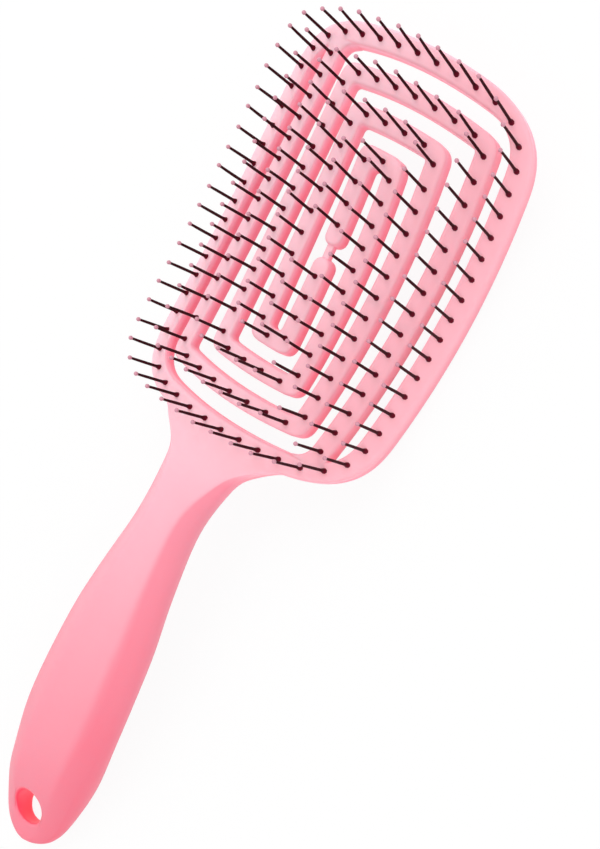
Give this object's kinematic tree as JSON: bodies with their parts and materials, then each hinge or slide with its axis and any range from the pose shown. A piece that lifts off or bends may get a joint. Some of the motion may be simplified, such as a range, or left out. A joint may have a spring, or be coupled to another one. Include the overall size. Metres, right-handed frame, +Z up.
{
  "type": "vented styling hairbrush",
  "caption": "Curved vented styling brush with a springy spiral-slotted head, ball-tipped pins on strips under rear covers, and an arched handle with a hanging hole.",
  "frame": {"origin": "on the table, under the middle of the brush's overall box, with the brush lying on its back and the pins up", "axes": "+X across the head to the right as seen from the pin side with the head up, +Y from the tail of the handle to the tip of the head, +Z up, the way the pins point"},
  "size_m": [0.0804, 0.2452, 0.0431],
  "materials": {
    "body_pink": "smooth satin light pink moulding",
    "cover_pink": "smooth satin pink snap-in cover",
    "pin_black": "satin black pins with dusty pink ball tips"
  },
  "bodies": {
    "frame": {"body_frame": "body_pink", "handle_cover": "cover_pink", "ring_cover": "cover_pink", "ring_pins_left": "pin_black", "ring_pins_bottom": "pin_black", "ring_pins_right": "pin_black", "ring_pins_top": "pin_black"},
    "arm_a1": {"arm_a1_rib": "body_pink", "arm_a1_pins_1": "pin_black", "arm_a1_cover": "cover_pink"},
    "arm_a2": {"arm_a2_rib": "body_pink", "arm_a2_pins_1": "pin_black", "arm_a2_pins_2": "pin_black", "arm_a2_cover": "cover_pink"},
    "arm_a3": {"arm_a3_rib": "body_pink", "arm_a3_pins_1": "pin_black", "arm_a3_pins_2": "pin_black", "arm_a3_pins_3": "pin_black", "arm_a3_cover": "cover_pink"},
    "arm_b1": {"arm_b1_rib": "body_pink", "arm_b1_pins_1": "pin_black", "arm_b1_cover": "cover_pink"},
    "arm_b2": {"arm_b2_rib": "body_pink", "arm_b2_pins_1": "pin_black", "arm_b2_pins_2": "pin_black", "arm_b2_cover": "cover_pink"},
    "arm_b3": {"arm_b3_rib": "body_pink", "arm_b3_pins_1": "pin_black", "arm_b3_pins_2": "pin_black", "arm_b3_pins_3": "pin_black", "arm_b3_cover": "cover_pink"}
  },
  "joints": [
    {"name": "arm_a1_flex", "type": "hinge", "parent": "frame", "child": "arm_a1", "pos_m": [0.02559, 0.01442, 0.01248], "axis": [1, 0, 0], "range_deg": [-3, 1.5], "stiffness_Nm_per_rad": 8},
    {"name": "arm_a2_flex", "type": "hinge", "parent": "arm_a1", "child": "arm_a2", "pos_m": [0.02679, 0.1009, 0.01447], "axis": [1, 0, 0], "range_deg": [-3, 6]},
    {"name": "arm_a3_flex", "type": "hinge", "parent": "arm_a2", "child": "arm_a3", "pos_m": [-0.01629, 0.03515, 0.01269], "axis": [1, 0, 0], "range_deg": [-3, 1.5]},
    {"name": "arm_b1_flex", "type": "hinge", "parent": "frame", "child": "arm_b1", "pos_m": [-0.02559, 0.11408, 0.01796], "axis": [1, 0, 0], "range_deg": [-1.5, 3]},
    {"name": "arm_b2_flex", "type": "hinge", "parent": "arm_b1", "child": "arm_b2", "pos_m": [-0.02679, 0.0276, 0.01044], "axis": [1, 0, 0], "range_deg": [-6, 3]},
    {"name": "arm_b3_flex", "type": "hinge", "parent": "arm_b2", "child": "arm_b3", "pos_m": [0.01629, 0.09335, 0.01589], "axis": [1, 0, 0], "range_deg": [-1.5, 3]}
  ],
  "couplings": [
    {"joint": "arm_a2_flex", "follows": "arm_a1_flex", "ratio": -2},
    {"joint": "arm_a3_flex", "follows": "arm_a1_flex", "ratio": 1},
    {"joint": "arm_b1_flex", "follows": "arm_a1_flex", "ratio": -1},
    {"joint": "arm_b2_flex", "follows": "arm_a1_flex", "ratio": 2},
    {"joint": "arm_b3_flex", "follows": "arm_a1_flex", "ratio": -1}
  ]
}
